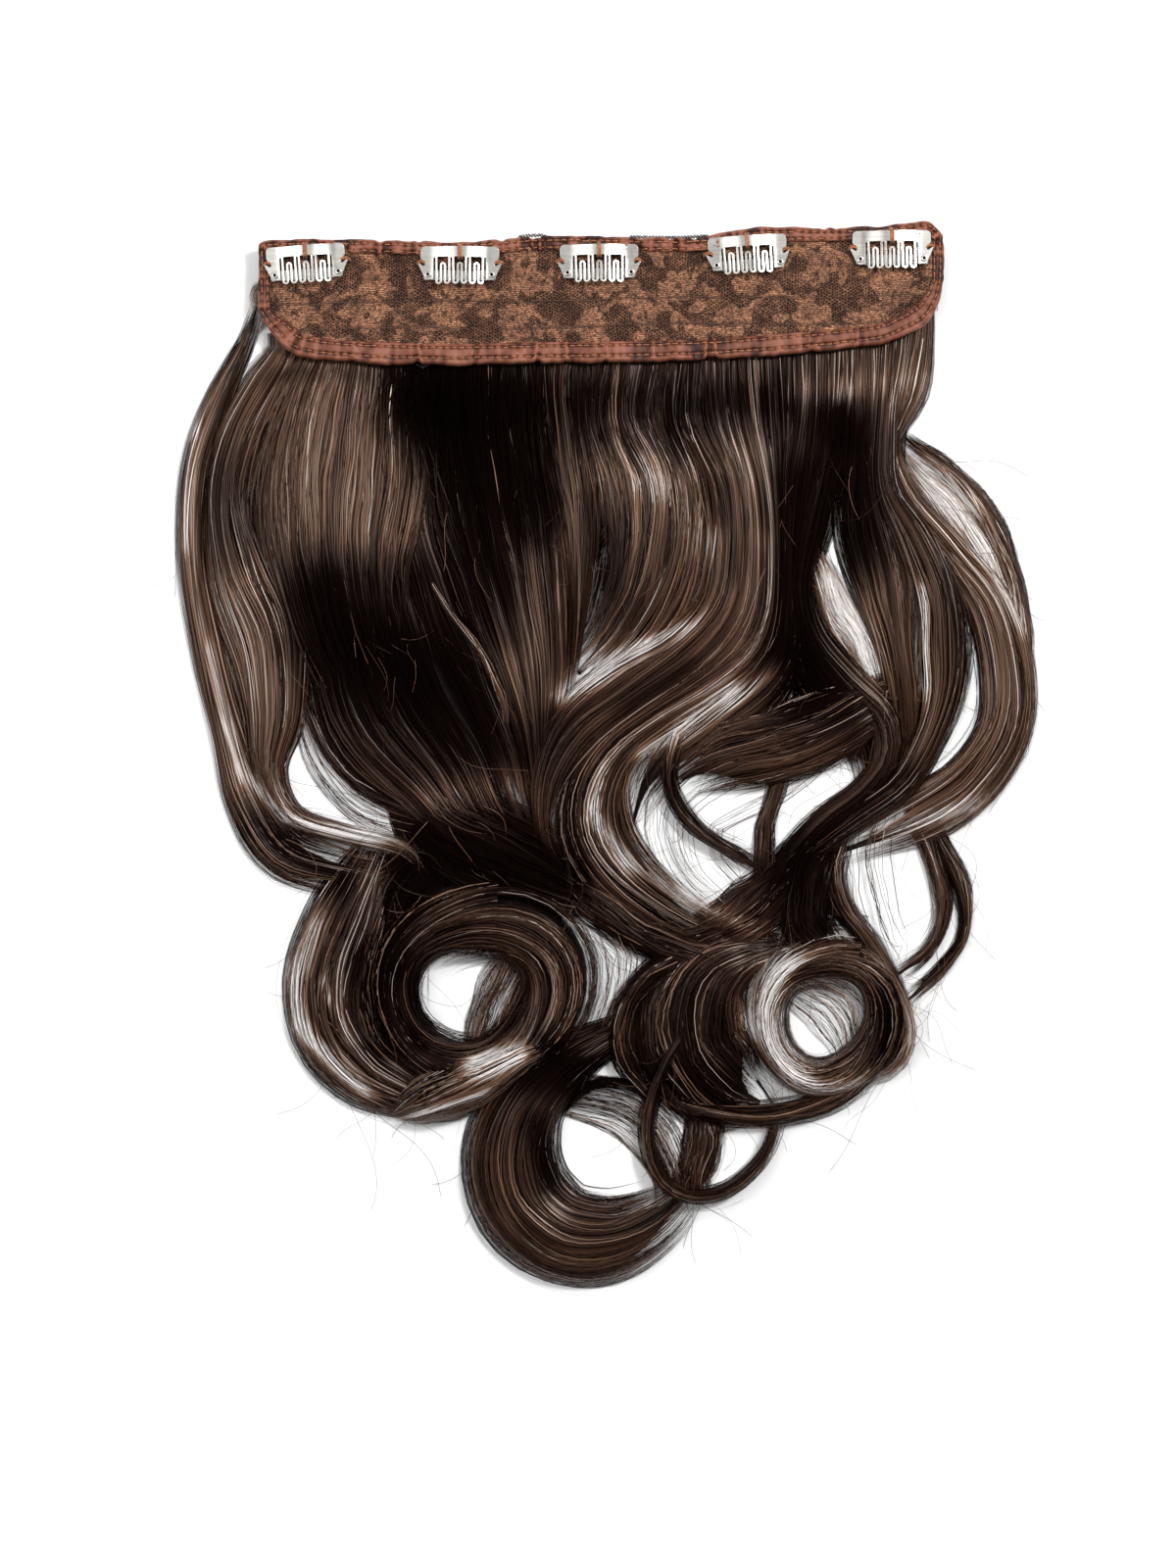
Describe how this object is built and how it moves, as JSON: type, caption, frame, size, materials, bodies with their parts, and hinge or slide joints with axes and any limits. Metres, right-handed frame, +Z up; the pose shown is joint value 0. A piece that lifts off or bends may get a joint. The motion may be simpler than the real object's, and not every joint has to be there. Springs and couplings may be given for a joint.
{
  "type": "clip-in hair extension",
  "caption": "Long wavy clip-in hair piece: curled brown hair hanging from a bound lace base with snap combs along its inner side.",
  "frame": {"origin": "middle of the whole piece's outline seen from above, on the table under it", "axes": "+X along the base to the viewer's right, +Y from the hair's tips to the base, +Z up out of the inner side with the snap combs"},
  "size_m": [0.3288, 0.4054, 0.018],
  "materials": {
    "hair": "glossy fibre",
    "lace": "matte",
    "binding": "satin",
    "weft": "matte",
    "spring_steel": "polished"
  },
  "bodies": {
    "root": {"lace_panel": "lace", "edge_binding": "binding", "weft_track_1": "weft", "weft_track_2": "weft", "weft_track_3": "weft", "weft_track_4": "weft", "hair": "hair", "clip_1_plate": "spring_steel", "clip_1_bar": "spring_steel", "clip_1_eyelet_left": "spring_steel", "clip_1_eyelet_right": "spring_steel", "clip_2_plate": "spring_steel", "clip_2_bar": "spring_steel", "clip_2_eyelet_left": "spring_steel", "clip_2_eyelet_right": "spring_steel", "clip_3_plate": "spring_steel", "clip_3_bar": "spring_steel", "clip_3_eyelet_left": "spring_steel", "clip_3_eyelet_right": "spring_steel", "clip_4_plate": "spring_steel", "clip_4_bar": "spring_steel", "clip_4_eyelet_left": "spring_steel", "clip_4_eyelet_right": "spring_steel", "clip_5_plate": "spring_steel", "clip_5_bar": "spring_steel", "clip_5_eyelet_left": "spring_steel", "clip_5_eyelet_right": "spring_steel"}
  },
  "joints": []
}
